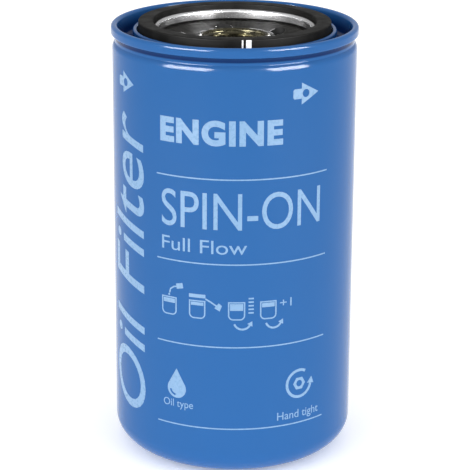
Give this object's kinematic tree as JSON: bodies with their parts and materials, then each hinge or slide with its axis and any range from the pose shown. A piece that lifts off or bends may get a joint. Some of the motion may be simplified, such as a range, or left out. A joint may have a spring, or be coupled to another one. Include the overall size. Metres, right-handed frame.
{
  "type": "spin-on oil filter",
  "caption": "Spin-on full-flow oil filter: painted seamed can, threaded dished plate with inlet ports, face gasket, pleated element and bypass valve.",
  "frame": {"origin": "middle of the closed end's foot, on the axis, where the filter stands", "axes": "+Z along the axis, from the closed end to the threaded end; -Y is the printed front"},
  "size_m": [0.0936, 0.0936, 0.1691],
  "materials": {
    "painted_can": "gloss",
    "plated_lid": "bright zinc plate",
    "sealing_compound": "matte",
    "plate_steel": "dark satin",
    "gasket_rubber": "satin",
    "tab_steel": "bright",
    "valve_rubber": "satin",
    "cap_steel": "tinplate",
    "potting_adhesive": "matte",
    "tube_steel": "satin",
    "filter_paper": "matte, resin treated",
    "valve_steel": "satin",
    "spring_steel": "drawn wire"
  },
  "bodies": {
    "can_assembly": {"housing_can": "painted_can", "seaming_lid": "plated_lid", "seam_sealant": "sealing_compound", "thread_plate": "plate_steel", "mounting_gasket": "gasket_rubber", "gasket_tabs": "tab_steel", "antidrainback_collar": "valve_rubber", "load_spring": "spring_steel"},
    "element": {"inner_seal": "valve_rubber", "upper_end_cap": "cap_steel", "lower_end_cap": "cap_steel", "upper_potting": "potting_adhesive", "lower_potting": "potting_adhesive", "centre_tube": "tube_steel", "pleated_media": "filter_paper", "media_clip": "tube_steel", "bypass_cage": "valve_steel", "bypass_spring": "spring_steel"},
    "bypass_valve": {"bypass_disc": "valve_rubber", "bypass_poppet": "valve_steel"},
    "antidrainback_valve": {"antidrainback_flap": "valve_rubber"}
  },
  "joints": [
    {"name": "element_float", "type": "slide", "parent": "can_assembly", "child": "element", "axis": [0, 0, 1], "range_m": [-0.0015, 0], "stiffness_N_per_m": 4000, "springref_m": 0.012, "deforming": ["load_spring"]},
    {"name": "bypass_lift", "type": "slide", "parent": "element", "child": "bypass_valve", "axis": [0, 0, 1], "range_m": [0, 0.004], "stiffness_N_per_m": 2000, "springref_m": -0.012, "deforming": ["bypass_spring"]},
    {"name": "antidrainback_lift", "type": "slide", "parent": "can_assembly", "child": "antidrainback_valve", "axis": [0, 0, 1], "range_m": [-0.0012, 0], "stiffness_N_per_m": 300, "springref_m": 0.002}
  ]
}
